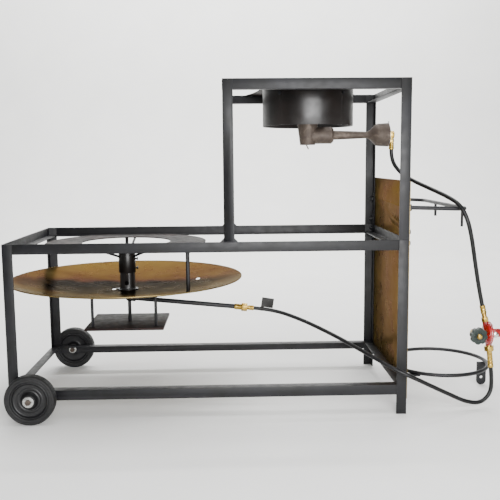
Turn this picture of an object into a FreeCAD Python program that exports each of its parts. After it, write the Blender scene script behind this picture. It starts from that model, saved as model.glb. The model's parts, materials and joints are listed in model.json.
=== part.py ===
"""Propane burner stand: a welded angle-iron stand with two gas burners, one solid per piece.

Built in stand coordinates (X from the wheeled end, Y from the front, Z up from the floor)
and moved at export so that the origin is under the middle of the stand.
"""
import FreeCAD, Part
import math
import os

V = FreeCAD.Vector

# ---- driving dimensions, millimetres ----
LENGTH = 1246.0         # low frame over its angles
DEPTH = 562.0
LOW_TOP = 555.0         # top of the low frame
TOWER_TOP = 1045.0
TOWER_X = 676.0         # left face of the tower
ANGLE = 31.75           # 1 1/4 inch angle iron
WALL = 3.2
BASE_Z = 63.5           # underside of the base rails
RAIL_GAP = 0.0          # gap left beside the tower's left posts
MID_Y = DEPTH / 2

LOW_BURNER_X = 338.0
DECK_R, DECK_HOLE_R, DECK_T = 272.0, 150.0, 3.2
LOW_FLANGE_Z = LOW_TOP - ANGLE + WALL

DISH_R, DISH_FLAT_R, DISH_T = 395.0, 50.0, 2.0
DISH_FLOOR, DISH_RIM = 362.0, 407.0
TRAY_TOP, TRAY_X, TRAY_Y, TRAY_LIP, SHEET = 252.0, 262.0, 235.0, 8.0, 1.5

TOP_BURNER_X = 962.0
TOP_PLATE_T = 3.2
DRUM_R, DRUM_T, DRUM_BOTTOM = 152.4, 1.6, 915.0
DRUM_TOP = TOWER_TOP - TOP_PLATE_T
POT_HOLE_R = 140.0
VENTURI_Z = 885.0
MIXER_END_X = 1234.0

SHIELD_TOP, SHIELD_BOTTOM = 735.0, 50.0
OUTSIDE = LENGTH + SHEET            # outer face of the heat shield

RING_R, RING_BAR_R, RING_Z = 170.4, 6.35, 88.0
RING_X = OUTSIDE + RING_R + RING_BAR_R
FOOT_W, FOOT_T = 34.0, 4.0

RACK_BAR_R, RACK_Z, RACK_END_X, RACK_BEND_R = 6.35, 653.0, 1432.0, 45.0
RACK_TILT = 2.0                     # degrees, outer end lower
RACK_Y = 16.0

WHEEL_R, WHEEL_W, WHEEL_X = 78.0, 38.0, 75.0
AXLE_R, AXLE_BORE_R = 5.0, 5.05
HUB_W = 49.0

HOSE_R = 6.5
ELBOW = V(342.0, MID_Y, 333.5)      # pipe elbow under the low burner
FEED_SLOPE = 0.1
GAS_Y = 33.0                        # plane of the regulator's ports
REG = V(1512.0, GAS_Y, 250.0)       # centre of the regulator's diaphragm; its axis is X
REG_R = 37.0
KNOB_X = 1528.0
NIPPLE_X = 1469.0

FRAME_LEFT = LOW_BURNER_X - DISH_R
FRAME_RIGHT = RING_X + RING_R + RING_BAR_R
ORIGIN = V((FRAME_LEFT + FRAME_RIGHT) / 2, MID_Y, 0)

X, Y, Z = V(1, 0, 0), V(0, 1, 0), V(0, 0, 1)


# ---- shape helpers ----
def box(x0, x1, y0, y1, z0, z1):
    low = V(min(x0, x1), min(y0, y1), min(z0, z1))
    return Part.makeBox(abs(x1 - x0), abs(y1 - y0), abs(z1 - z0), low)


def rod(start, end, radius):
    return Part.makeCylinder(radius, (end - start).Length, start, end - start)


def ring(start, direction, length, outer, inner):
    solid = Part.makeCylinder(outer, length, start, direction)
    return solid.cut(Part.makeCylinder(inner, length, start, direction))


def hexagon(start, direction, length, flats, bore=0.0):
    """Hexagonal prism across `flats`, with an optional round bore."""
    corners = []
    for i in range(7):
        angle = math.radians(60 * i)
        corners.append(V(math.cos(angle), math.sin(angle), 0) * (flats / math.sqrt(3)))
    prism = Part.Face(Part.makePolygon(corners)).extrude(Z * length)
    if bore:
        prism = prism.cut(Part.makeCylinder(bore, length))
    prism.Placement = FreeCAD.Placement(start, FreeCAD.Rotation(Z, direction))
    return prism


def revolve(points, start, direction):
    """Solid of revolution; points are (distance along, radius) pairs."""
    outline = Part.Face(Part.makePolygon([V(r, 0, s) for s, r in points + points[:1]]))
    solid = outline.revolve(V(0, 0, 0), Z, 360)
    solid.Placement = FreeCAD.Placement(start, FreeCAD.Rotation(Z, direction))
    return solid


def join(*shapes):
    solid = shapes[0].fuse(list(shapes[1:])).removeSplitter()
    return solid.Solids[0] if len(solid.Solids) == 1 else solid


def group(shapes):
    return Part.makeCompound(shapes)


def bent_bar(points, radii, radius):
    """Round bar along straight runs joined by tangent arcs; radii belong to the inner points."""
    edges, at = [], points[0]
    for i, bend in enumerate(radii, start=1):
        before = (points[i - 1] - points[i]).normalize()
        after = (points[i + 1] - points[i]).normalize()
        half = before.getAngle(after) / 2
        back = bend / math.tan(half)
        first, last = points[i] + before * back, points[i] + after * back
        inward = (before + after).normalize()
        middle = points[i] + inward * (bend / math.sin(half) - bend)
        edges.append(Part.LineSegment(at, first).toShape())
        edges.append(Part.Arc(first, middle, last).toShape())
        at = last
    edges.append(Part.LineSegment(at, points[-1]).toShape())
    path = Part.Wire(edges)
    section = Part.Wire(Part.makeCircle(radius, points[0], points[1] - points[0]))
    return path.makePipeShell([section], True, False), path.Length


def stand_place(shape):
    moved = shape.copy()
    moved.translate(-ORIGIN)
    return moved


# ---- angle iron ----
def rail_x(x0, x1, y_face, side, z0, flange_on_top, trim=0.0):
    """Angle along X: upright face at y_face, flange towards `side` (+1 back, -1 front)."""
    upright = box(x0 + trim, x1, y_face, y_face + side * WALL, z0, z0 + ANGLE)
    flange_z = z0 + ANGLE - WALL if flange_on_top else z0
    reach = ANGLE - WALL
    flange = box(x0 - reach, x1 + reach, y_face + side * WALL, y_face + side * ANGLE,
                 flange_z, flange_z + WALL)
    return join(upright, flange)


def rail_y(x_face, side, z0, flange_on_top):
    """Angle along Y between the corner posts, flange towards `side` (+1 right, -1 left)."""
    upright = box(x_face, x_face + side * WALL, ANGLE, DEPTH - ANGLE, z0, z0 + ANGLE)
    flange_z = z0 + ANGLE - WALL if flange_on_top else z0
    flange = box(x_face + side * WALL, x_face + side * ANGLE, ANGLE, DEPTH - ANGLE,
                 flange_z, flange_z + WALL)
    return join(upright, flange)


def post(x_heel, side_x, at_back, z0, z1):
    """Upright angle with its heel at the outside corner of the stand."""
    y_heel, side_y = (DEPTH, -1) if at_back else (0.0, 1)
    face = box(x_heel, x_heel + side_x * ANGLE, y_heel, y_heel + side_y * WALL, z0, z1)
    flank = box(x_heel, x_heel + side_x * WALL, y_heel + side_y * WALL,
                y_heel + side_y * ANGLE, z0, z1)
    return join(face, flank)


def frame_rails():
    """Eight low-frame rails and four tower rails, kept in matching pairs."""
    low, top = LOW_TOP - ANGLE, TOWER_TOP - ANGLE
    long_low, long_base, long_tower = [], [], []
    for name, y_face, side in (("front", 0.0, 1), ("rear", DEPTH, -1)):
        axle_hole = rod(axle_point(name, -100), axle_point(name, 100), AXLE_R + 0.2)
        base = rail_x(ANGLE, LENGTH - ANGLE, y_face, side, BASE_Z, True)
        long_low.append(rail_x(ANGLE, LENGTH - ANGLE, y_face, side, low, False))
        long_base.append(base.cut(axle_hole))
        long_tower.append(rail_x(TOWER_X + ANGLE, LENGTH - ANGLE, y_face, side, top, False,
                                 RAIL_GAP))
    return {
        "low_rails_long": group(long_low),
        "low_rails_short": group([rail_y(0.0, 1, low, False), rail_y(LENGTH, -1, low, False)]),
        "base_rails_long": group(long_base),
        "base_rails_short": group([rail_y(0.0, 1, BASE_Z, True), rail_y(LENGTH, -1, BASE_Z, True)]),
        "tower_rails_long": group(long_tower),
        "tower_rails_short": group([rail_y(TOWER_X, 1, top, False), rail_y(LENGTH, -1, top, False)]),
    }


def frame_posts():
    """Four legs and four tower posts, drilled where bolts and the rack pass."""
    return {
        "legs_left": group([post(0.0, 1, back, BASE_Z, LOW_TOP) for back in (False, True)]),
        "legs_right": group([drilled_end(post(LENGTH, -1, back, 0.0, LOW_TOP))
                             for back in (False, True)]),
        "tower_posts_left": group([post(TOWER_X, 1, back, LOW_TOP, TOWER_TOP)
                                   for back in (False, True)] + weld_gussets()),
        "tower_posts_right": group([drilled_end(post(LENGTH, -1, back, LOW_TOP, TOWER_TOP))
                                    for back in (False, True)]),
    }


def weld_gussets():
    """Small triangles either side of the feet of the tower's left posts."""
    size, plates = 12.0, []
    for y_face, side in ((0.0, 1), (DEPTH, -1)):
        for x0, way in ((TOWER_X, -1), (TOWER_X + ANGLE, 1)):
            corners = [V(x0, y_face, LOW_TOP), V(x0 + way * size, y_face, LOW_TOP),
                       V(x0, y_face, LOW_TOP + size), V(x0, y_face, LOW_TOP)]
            plates.append(Part.Face(Part.makePolygon(corners)).extrude(Y * (side * WALL)))
    return plates


# ---- tank end: splice plates, shield, rack, ring ----
SPLICE_T, SPLICE_Z0, SPLICE_Z1 = 3.2, 528.0, 604.0
SPLICE_BOLT_Z = (578.0, 543.0)
BOLT_R, BOLT_HOLE_R, BOLT_FLATS, BOLT_HEAD = 4.0, 4.2, 13.0, 5.3
INSIDE = LENGTH - WALL              # inner face of the end flanges


def end_holes():
    """Bores through everything at the tank end: splice bolts and rack ends."""
    bores = []
    for y in (RACK_Y, DEPTH - RACK_Y):
        for z in SPLICE_BOLT_Z:
            bores.append(rod(V(LENGTH - 20, y, z), V(LENGTH + 20, y, z), BOLT_HOLE_R))
        bores.append(rod(V(LENGTH - 20, y, RACK_Z), V(LENGTH + 20, y, RACK_Z), RACK_BAR_R + 0.6))
    return bores


def drilled_end(shape):
    return shape.cut(group(end_holes()))


def splice_plates():
    plates = []
    for y in (RACK_Y, DEPTH - RACK_Y):
        plates.append(box(INSIDE - SPLICE_T, INSIDE, y - 11, y + 11, SPLICE_Z0, SPLICE_Z1))
    return drilled_end(group(plates))


def splice_bolts():
    """Hexagon bolts, heads outside the shield."""
    bolts = []
    for y in (RACK_Y, DEPTH - RACK_Y):
        for z in SPLICE_BOLT_Z:
            head = hexagon(V(OUTSIDE, y, z), X, BOLT_HEAD, BOLT_FLATS)
            shank = rod(V(INSIDE - SPLICE_T - 10, y, z), V(OUTSIDE, y, z), BOLT_R)
            bolts.append(join(head, shank))
    return group(bolts)


def end_nuts():
    """Nuts on the splice bolts and on the threaded ends of the rack."""
    nuts = []
    for y in (RACK_Y, DEPTH - RACK_Y):
        for z in SPLICE_BOLT_Z:
            start = V(INSIDE - SPLICE_T, y, z)
            nuts.append(hexagon(start, -X, 6.5, BOLT_FLATS, BOLT_R))
        nuts.append(hexagon(V(INSIDE, y, RACK_Z), -X, 7.0, 19.0, RACK_BAR_R))
        nuts.append(hexagon(V(OUTSIDE, y, RACK_Z), X, 7.0, 19.0, RACK_BAR_R))
    return group(nuts)


def heat_shield():
    sheet = box(LENGTH, OUTSIDE, 0, DEPTH, SHIELD_BOTTOM, SHIELD_TOP)
    return drilled_end(sheet)


def rack_path():
    """Corners of the rack's centre line: straight ends, then a shallow slope outwards."""
    drop = math.tan(math.radians(RACK_TILT))
    points = []
    for y in (RACK_Y, DEPTH - RACK_Y):
        inner = V(LENGTH - 16, y, RACK_Z)
        knee = V(OUTSIDE + 14, y, RACK_Z)
        outer = V(RACK_END_X, y, RACK_Z - (RACK_END_X - knee.x) * drop)
        points.append([inner, knee, outer])
    return points[0] + points[1][::-1]


def bar_rack():
    """Bent bar with two pegs welded under its outer run."""
    points = rack_path()
    pieces = [bent_bar(points, [120.0, RACK_BEND_R, RACK_BEND_R, 120.0], RACK_BAR_R)[0]]
    for y, length, radius in ((370.0, 42.0, 4.5), (75.0, 54.0, 4.0)):
        top = V(RACK_END_X, y, points[2].z - RACK_BAR_R + 1.0)
        pieces.append(rod(top, top - Z * length, radius))
    return join(*pieces)


def tank_ring():
    return Part.makeTorus(RING_R, RING_BAR_R, V(RING_X, MID_Y, RING_Z), Z)


def ring_straps():
    """Flat straps from the frame's end to the underside of the ring."""
    straps, top = [], RING_Z - RING_BAR_R + 0.4
    for y in (MID_Y - 130, MID_Y + 130):
        strap = box(OUTSIDE, RING_X - 97, y - 12.5, y + 12.5, top - 4, top)
        tongue = box(OUTSIDE, OUTSIDE + 4, y - 12.5, y + 12.5, BASE_Z, top - 4)
        straps.append(join(strap, tongue))
    return group(straps)


def ring_foot():
    """Flat bar from the ring's outermost point to the floor, round at its lower end."""
    half, top = FOOT_W / 2, RING_Z - RING_BAR_R + 2.0
    x_mid = FRAME_RIGHT - half
    y0 = MID_Y - FOOT_T / 2
    bar = box(x_mid - half, x_mid + half, y0, y0 + FOOT_T, half, top)
    toe = Part.makeCylinder(half, FOOT_T, V(x_mid, y0, half), Y)
    hole = Part.makeCylinder(5.0, FOOT_T, V(x_mid, y0, 28), Y)
    return join(bar, toe).cut(hole)


# ---- low burner ----
def lower_deck():
    return ring(V(LOW_BURNER_X, MID_Y, LOW_FLANGE_Z), Z, DECK_T, DECK_R, DECK_HOLE_R)


SLEEVE_R, TUBE_R, TUBE_BORE_R = 29.0, 26.0, 23.0
SLEEVE_Z0, SLEEVE_Z1, TUBE_Z1 = 423.0, 505.0, 490.0
RISER_R = 8.0
DISH_TOP_FLOOR = DISH_FLOOR + DISH_T


def dish_top(radius):
    """Height of the dish's upper surface at a distance from its centre."""
    if radius < DISH_FLAT_R:
        return DISH_TOP_FLOOR
    share = (radius - DISH_FLAT_R) / (DISH_R - DISH_FLAT_R)
    return DISH_TOP_FLOOR + (DISH_RIM - DISH_FLOOR) * share ** 2


def wide_dish():
    """Shallow dish: flat middle, then a curve up to the rim, with two oval slots."""
    middle = (DISH_FLAT_R + DISH_R) / 2
    down = V(0, 0, -DISH_T)
    top = [V(r, 0, dish_top(r)) for r in (DISH_FLAT_R, middle, DISH_R)]
    low = [p + down for p in top]
    floor_in, floor_low = V(0, 0, DISH_TOP_FLOOR), V(0, 0, DISH_FLOOR)
    edges = [Part.LineSegment(floor_in, top[0]), Part.Arc(*top),
             Part.LineSegment(top[2], low[2]), Part.Arc(low[2], low[1], low[0]),
             Part.LineSegment(low[0], floor_low), Part.LineSegment(floor_low, floor_in)]
    outline = Part.Face(Part.Wire([e.toShape() for e in edges]))
    dish = outline.revolve(V(0, 0, 0), Z, 360)
    dish.translate(V(LOW_BURNER_X, MID_Y, 0))
    dish = dish.cut(Part.makeCylinder(RISER_R + 0.2, 20, V(ELBOW.x, MID_Y, 352), Z))
    for x, y in ((LOW_BURNER_X - 48, MID_Y + 4), (LOW_BURNER_X + 238, MID_Y + 104)):
        dish = dish.cut(oval_slot(x, y))
    return dish


def oval_slot(x, y):
    """Upright cutter for a slot 14 wide and 34 long, its length along Y."""
    ends = [Part.makeCylinder(7, 60, V(x, y + s * 10, 350), Z) for s in (-1, 1)]
    return join(box(x - 7, x + 7, y - 10, y + 10, 350, 410), *ends)


def burner_sleeve():
    """Sliding sleeve with two clamp screws on its right-hand side."""
    pieces = [ring(V(LOW_BURNER_X, MID_Y, SLEEVE_Z0), Z, SLEEVE_Z1 - SLEEVE_Z0, SLEEVE_R, TUBE_R)]
    for z in (438.0, 470.0):
        start = V(LOW_BURNER_X + SLEEVE_R - 0.4, MID_Y, z)
        pieces.append(join(rod(start, start + X * 5, 3), hexagon(start + X * 5, X, 4, 10)))
    return group(pieces)


def burner_tube():
    """Base tube standing on the dish, with air windows near its foot."""
    foot = DISH_TOP_FLOOR
    tube = ring(V(LOW_BURNER_X, MID_Y, foot), Z, TUBE_Z1 - foot, TUBE_R, TUBE_BORE_R)
    flange = ring(V(LOW_BURNER_X, MID_Y, foot), Z, 3, 36, TUBE_BORE_R)
    tube = join(tube, flange)
    for i in range(4):
        way = V(math.cos(math.pi / 2 * i), math.sin(math.pi / 2 * i), 0)
        centre = V(LOW_BURNER_X, MID_Y, foot + 24)
        tube = tube.cut(rod(centre, centre + way * 40, 7.5))
    return tube


def burner_nozzle():
    """Gas jet block on the riser inside the base tube."""
    profile = [(0, 0), (0, 15), (8, 17), (14, 17), (20, 11), (26, 6), (26, 0)]
    return revolve(profile, V(ELBOW.x, MID_Y, 440), Z)


def hanger_spider():
    """Three rods from the sleeve up to the underside of the lower deck."""
    rods = []
    for degrees in (87, 207, 327):
        angle = math.radians(degrees)
        way = V(math.cos(angle), math.sin(angle), 0)
        centre = V(LOW_BURNER_X, MID_Y, 0)
        rods.append(rod(centre + way * 20 + Z * 476, centre + way * 170 + Z * 532, 4))
    below = box(0, 700, 0, DEPTH, 450, LOW_FLANGE_Z)
    sleeve = rod(V(LOW_BURNER_X, MID_Y, 440), V(LOW_BURNER_X, MID_Y, 520), SLEEVE_R)
    return group([r.common(below).cut(sleeve) for r in rods])


HANGERS = ((LOW_BURNER_X + 225, 16.0), (LOW_BURNER_X - 38, DEPTH - 16.0))
HANGER_R = 6.0


def dish_hangers():
    """Rods from the low rails down into the dish."""
    rods = []
    for x, y in HANGERS:
        foot = dish_top(math.hypot(x - LOW_BURNER_X, y - MID_Y)) - 1.0
        rods.append(rod(V(x, y, foot), V(x, y, LOW_TOP - ANGLE), HANGER_R))
    return group(rods)


def drip_tray():
    """Plate with a lip turned down on all four sides."""
    x0, x1 = LOW_BURNER_X - TRAY_X / 2, LOW_BURNER_X + TRAY_X / 2
    y0, y1 = MID_Y - TRAY_Y / 2, MID_Y + TRAY_Y / 2
    outer = box(x0, x1, y0, y1, TRAY_TOP - TRAY_LIP, TRAY_TOP)
    inner = box(x0 + SHEET, x1 - SHEET, y0 + SHEET, y1 - SHEET,
                TRAY_TOP - TRAY_LIP, TRAY_TOP - SHEET)
    return outer.cut(inner)


def tray_rods():
    """Two rods from the tray to the dish, and one to the pipe elbow."""
    rods = []
    for x, y in ((LOW_BURNER_X - 108, MID_Y - 91), (LOW_BURNER_X + 104, MID_Y - 91)):
        top = dish_top(math.hypot(x - LOW_BURNER_X, y - MID_Y)) - 1.0
        rods.append(rod(V(x, y, TRAY_TOP), V(x, y, top), 5))
    rods.append(rod(V(ELBOW.x, MID_Y, TRAY_TOP), V(ELBOW.x, MID_Y, ELBOW.z - 12), 6))
    return group(rods)


FEED_WAY = V(1, 0, -FEED_SLOPE).normalize()
UNION_AT, HOSE_AT = 366.0, 433.0    # distances along the feed pipe's axis


def feed_point(distance):
    return ELBOW + FEED_WAY * distance


def pipe_elbow():
    body = Part.makeSphere(13, ELBOW)
    up = rod(ELBOW, V(ELBOW.x, MID_Y, 352), 11.5)
    along = rod(ELBOW, feed_point(22), 11.5)
    return join(body, up, along)


def gas_pipes():
    """Riser up to the jet and feed pipe along to the union."""
    riser = rod(V(ELBOW.x, MID_Y, 352), V(ELBOW.x, MID_Y, 440), RISER_R)
    return group([riser, rod(feed_point(22), feed_point(UNION_AT), RISER_R)])


def brass_union():
    """Brass swivel union: taper, hexagon, short neck."""
    profile = [(0, 0), (0, 9), (6, 10), (25, 10), (25, 0)]
    taper = revolve(profile, feed_point(UNION_AT), FEED_WAY)
    nut = hexagon(feed_point(UNION_AT + 25), FEED_WAY, 20, 25)
    neck = rod(feed_point(UNION_AT + 45), feed_point(UNION_AT + 50), 7.5)
    return join(taper, nut, neck)


def crimp_sleeve(start, way, length):
    """Crimped brass sleeve with two shallow grooves."""
    radius, groove = 8.8, 0.7
    profile = [(0, 0), (0, radius)]
    for share in (0.3, 0.6):
        s = length * share
        profile += [(s - 1.5, radius), (s, radius - groove), (s + 1.5, radius)]
    profile += [(length, radius), (length, 0)]
    return revolve(profile, start, way)


# ---- top burner ----
def upper_deck():
    """Flat plate between the front and rear rails, its sides curved in beside the drum."""
    narrow, wide = 158.0, 208.0
    y0, y1 = WALL, DEPTH - WALL
    x = TOP_BURNER_X
    edges = [Part.LineSegment(V(x - wide, y0, 0), V(x + wide, y0, 0)),
             Part.Arc(V(x + wide, y0, 0), V(x + narrow, MID_Y, 0), V(x + wide, y1, 0)),
             Part.LineSegment(V(x + wide, y1, 0), V(x - wide, y1, 0)),
             Part.Arc(V(x - wide, y1, 0), V(x - narrow, MID_Y, 0), V(x - wide, y0, 0))]
    plate = Part.Face(Part.Wire([e.toShape() for e in edges])).extrude(Z * TOP_PLATE_T)
    plate.translate(Z * DRUM_TOP)
    return plate.cut(Part.makeCylinder(POT_HOLE_R, 20, V(x, MID_Y, DRUM_TOP - 5), Z))


TAB_AZIMUTHS = (48, 132, 228, 312)
TAB_Z0, DRUM_BOLT_Z = 1002.0, 1017.0
DRUM_AXIS = V(TOP_BURNER_X, MID_Y, 0)


def spoke(azimuth, radius, z):
    angle = math.radians(azimuth)
    return DRUM_AXIS + V(math.cos(angle), math.sin(angle), 0) * radius + Z * z


def drum_bores():
    return [rod(spoke(a, 120, DRUM_BOLT_Z), spoke(a, 170, DRUM_BOLT_Z), 3.2) for a in TAB_AZIMUTHS]


def wind_guard():
    height = DRUM_TOP - DRUM_BOTTOM
    wall = ring(DRUM_AXIS + Z * DRUM_BOTTOM, Z, height, DRUM_R, DRUM_R - DRUM_T)
    return wall.cut(group(drum_bores()))


def drum_tabs():
    """Curved tabs welded under the deck, inside the drum."""
    outer, thick, spread = DRUM_R - DRUM_T, 3.0, 12
    tabs = []
    for azimuth in TAB_AZIMUTHS:
        sector = Part.makeCylinder(outer, DRUM_TOP - TAB_Z0, DRUM_AXIS + Z * TAB_Z0, Z, spread)
        sector.rotate(DRUM_AXIS, Z, azimuth - spread / 2)
        core = Part.makeCylinder(outer - thick, DRUM_TOP - TAB_Z0, DRUM_AXIS + Z * TAB_Z0, Z)
        tabs.append(sector.cut(core).cut(group(drum_bores())))
    return group(tabs)


def drum_bolts():
    """Short bolts through drum and tabs, each with its nut inside."""
    pieces = []
    for azimuth in TAB_AZIMUTHS:
        outside = spoke(azimuth, DRUM_R, DRUM_BOLT_Z)
        way = (outside - spoke(azimuth, 0, DRUM_BOLT_Z)).normalize()
        pieces.append(join(hexagon(outside, way, 4, 10), rod(outside - way * 14, outside, 3)))
        start = spoke(azimuth, DRUM_R - DRUM_T - 3.2, DRUM_BOLT_Z)
        pieces.append(hexagon(start, -way, 5, 10, 3.0))
    return group(pieces)


BAR_Z, BAR_T, BAR_HOLE_R = 925.0, 4.0, 38.0


def burner_bar():
    """Flat bar across the drum that carries the cast burner."""
    bar = box(TOP_BURNER_X - 22, TOP_BURNER_X + 22, 0, DEPTH, BAR_Z, BAR_Z + BAR_T)
    inside = Part.makeCylinder(DRUM_R - DRUM_T, 20, DRUM_AXIS + Z * (BAR_Z - 5), Z)
    seat = Part.makeCylinder(62, BAR_T, DRUM_AXIS + Z * BAR_Z, Z)
    hole = Part.makeCylinder(BAR_HOLE_R, BAR_T, DRUM_AXIS + Z * BAR_Z, Z)
    return join(bar.common(inside), seat).cut(hole)


BOWL_OUTER = [(0, 0), (0, 25.5), (62, 34), (72, 36), (76, 36.5), (76, 55), (82, 56), (109, 70),
              (117, 70)]
BOWL_INNER = [(117, 63), (110, 62), (86, 48), (76, 30), (70, 27), (8, 19), (8, 0)]
BOWL_Z = 853.0
PORT_R, MIXER_BORE_R = 2.3, 10.0


def burner_bowl():
    """Cast burner body, hollow, with a gas inlet bored in its side and a stud hanging below."""
    bowl = revolve(BOWL_OUTER + BOWL_INNER, DRUM_AXIS + Z * BOWL_Z, Z)
    inlet = rod(V(TOP_BURNER_X, MID_Y, VENTURI_Z), V(TOP_BURNER_X + 60, MID_Y, VENTURI_Z),
                MIXER_BORE_R)
    top = V(TOP_BURNER_X - 4, MID_Y, BOWL_Z)
    stud = join(rod(top, top + V(7, 0, -14), 2.2), rod(top, top + Z * 8, 2.2))
    return join(bowl.cut(inlet), stud)


def burner_cap():
    """Cast cap with two rings of gas ports."""
    cap = revolve([(0, 0), (0, 70), (6, 68), (11, 34), (13, 0)], DRUM_AXIS + Z * (BOWL_Z + 117), Z)
    ports = []
    for count, radius in ((12, 28), (18, 46)):
        for i in range(count):
            foot = spoke(360 * i / count, radius, BOWL_Z + 110)
            ports.append(rod(foot, foot + Z * 30, PORT_R))
    return cap.cut(group(ports))


SHUTTER_X, WINDOW_R, WINDOW_AT = MIXER_END_X + 3.3, 9.0, 22.0
SPIGOT_R, SHUTTER_BORE_R, SHUTTER_T = 6.0, 6.05, 1.6


def air_disc(x0, thickness, radius, bore):
    """Disc with four round air windows and a centre bore."""
    disc = ring(V(x0, MID_Y, VENTURI_Z), X, thickness, radius, bore)
    for i in range(4):
        angle = math.pi / 2 * i
        away = V(0, math.cos(angle), math.sin(angle)) * WINDOW_AT
        disc = disc.cut(Part.makeCylinder(WINDOW_R, thickness, V(x0, MID_Y, VENTURI_Z) + away, X))
    return disc


def venturi():
    """Cast mixer tube: socket, slim neck, flare, bell, and the bell's face plate."""
    start = TOP_BURNER_X + 12
    outer = [(start, 28.5), (1042, 28.5), (1049, 22), (1049, 15.5), (1120, 13.0), (1165, 11.0),
             (1175, 17), (1191, 33), (1199, 37.5), (MIXER_END_X, 39.5)]
    inner = [(MIXER_END_X, 35.5), (1200, 33), (1190, 27), (1172, 9), (1160, 7.5), (1049, 10),
             (start, MIXER_BORE_R)]
    profile = [(s - start, r) for s, r in outer + inner]
    tube = revolve(profile, V(start, MID_Y, VENTURI_Z), X)
    bowl = revolve(BOWL_OUTER + [(117, 0)], DRUM_AXIS + Z * BOWL_Z, Z)
    return join(tube.cut(bowl), air_disc(MIXER_END_X, 3.0, 39.5, SPIGOT_R))


def air_shutter():
    """Turning disc with a finger tab."""
    disc = air_disc(SHUTTER_X, SHUTTER_T, 37.0, SHUTTER_BORE_R)
    tab = box(SHUTTER_X, SHUTTER_X + SHUTTER_T, MID_Y - 7, MID_Y + 7,
              VENTURI_Z + 34, VENTURI_Z + 46)
    return join(disc, tab)


ORIFICE_X = 1249.0
TOP_SLEEVE_Z = 856.0


def orifice_elbow():
    """Brass orifice: spigot through the shutter, hexagon body, outlet down to the hose."""
    face = SHUTTER_X + SHUTTER_T + 0.3
    spigot = rod(V(1222, MID_Y, VENTURI_Z), V(face, MID_Y, VENTURI_Z), SPIGOT_R)
    body = hexagon(V(face, MID_Y, VENTURI_Z), X, 18, 22)
    down = rod(V(ORIFICE_X, MID_Y, VENTURI_Z), V(ORIFICE_X, MID_Y, TOP_SLEEVE_Z), 7.5)
    nut = hexagon(V(ORIFICE_X, MID_Y, 870), -Z, 12, 16)
    return join(spigot, body, down, nut)


# ---- regulator and fittings ----
PORT_UP = V(-0.22, 0, 0.975).normalize()
PORT_DOWN = V(0.12, 0, -0.993).normalize()
PORT_HUB = V(REG.x - 1, GAS_Y, REG.z)
UP_END, DOWN_END = 92.0, 112.0      # distances from the hub to the hose ends
BOSS, INLET_BOSS = 39.0, 24.0


def regulator_body():
    """Die-cast body, a disc with three bosses, hollow behind the diaphragm."""
    disc = revolve([(0, 0), (0, REG_R), (5, REG_R), (8, 34), (12, 26), (12, 0)], REG, -X)
    bosses = [rod(PORT_HUB, PORT_HUB + PORT_UP * BOSS, 10),
              rod(PORT_HUB, PORT_HUB + PORT_DOWN * BOSS, 10),
              rod(PORT_HUB, PORT_HUB - X * INLET_BOSS, 11)]
    solid = join(disc, *bosses)
    beyond = Part.makeCylinder(REG_R + 0.6, 30, REG, X)
    chamber = Part.makeCylinder(22, 5, REG - X * 5, X)
    return solid.cut(beyond).cut(chamber).cut(group(screw_rods(2.05)))


def diaphragm():
    return Part.makeCylinder(REG_R, 1.0, REG, X).cut(group(screw_rods(2.05)))


BONNET_X = REG.x + 1.0              # face where the bonnet meets the diaphragm
BONNET_LEN, BONNET_R = 38.0, 13.5


def bonnet():
    """Spring housing pointing right, with a boss on its front for the knob's stem."""
    outer = [(0, 0), (0, REG_R), (4, REG_R), (4, 30.2), (5.2, 16.5), (11, BONNET_R),
             (BONNET_LEN - 2, BONNET_R), (BONNET_LEN, BONNET_R - 2), (BONNET_LEN, 0)]
    face = V(BONNET_X, REG.y, REG.z)
    housing = revolve(outer, face, X)
    boss = rod(V(KNOB_X, REG.y, REG.z), V(KNOB_X, REG.y - 17, REG.z), 11)
    solid = join(housing, boss)
    cavity = revolve([(0, 0), (0, 24), (6, 9), (BONNET_LEN - 5, 9), (BONNET_LEN - 5, 0)], face, X)
    stem = rod(V(KNOB_X, REG.y - 5, REG.z), V(KNOB_X, REG.y - 20, REG.z), 4.08)
    return solid.cut(cavity).cut(stem).cut(group(screw_rods(2.05)))


def screw_rods(radius, x0=-8.0, x1=8.0):
    """Rods round the rim; x0 and x1 are measured from the diaphragm."""
    rods = []
    for i in range(6):
        angle = math.radians(60 * i)
        away = V(0, math.cos(angle), math.sin(angle)) * 33.4
        rods.append(Part.makeCylinder(radius, x1 - x0, REG + away + X * x0, X))
    return rods


def bonnet_screws():
    """Six cap screws through the two flanges."""
    shanks = screw_rods(2.0, -7.5, 5.0)
    heads = screw_rods(2.7, 5.0, 8.0)
    return group([join(s, h) for s, h in zip(shanks, heads)])


def adjusting_knob():
    """Round knob facing front, with a stem into the bonnet's boss."""
    knob = [(0, 0), (0, 4.0), (10.3, 4.0), (10.3, 8.8), (20, 8.8), (21.5, 7), (21.5, 0)]
    return revolve(knob, V(KNOB_X, REG.y - 7, REG.z), -Y)


NIPPLE_R, WHEEL_BORE_R = 7.0, 7.05
HANDWHEEL_Y0, HANDWHEEL_T = 4.0, 16.0


def inlet_pipe():
    """Brass pipe from the body, its hexagon elbow, and the bottle nipple."""
    pipe = rod(PORT_HUB - X * INLET_BOSS, V(NIPPLE_X, GAS_Y, REG.z), 8)
    elbow = hexagon(V(NIPPLE_X, GAS_Y + 11, REG.z), -Y, 20, 22)
    back = GAS_Y + 11 - 20
    wheel = back - HANDWHEEL_Y0 - 0.3
    front = wheel + HANDWHEEL_T + 0.6
    profile = [(0, 0), (0, 9.5), (wheel, 9.5), (wheel, NIPPLE_R), (front, NIPPLE_R),
               (front, 8.6), (front + 4, 8.6), (front + 8, 5.5), (front + 8, 0)]
    return join(pipe, elbow, revolve(profile, V(NIPPLE_X, back, REG.z), -Y))


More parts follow.
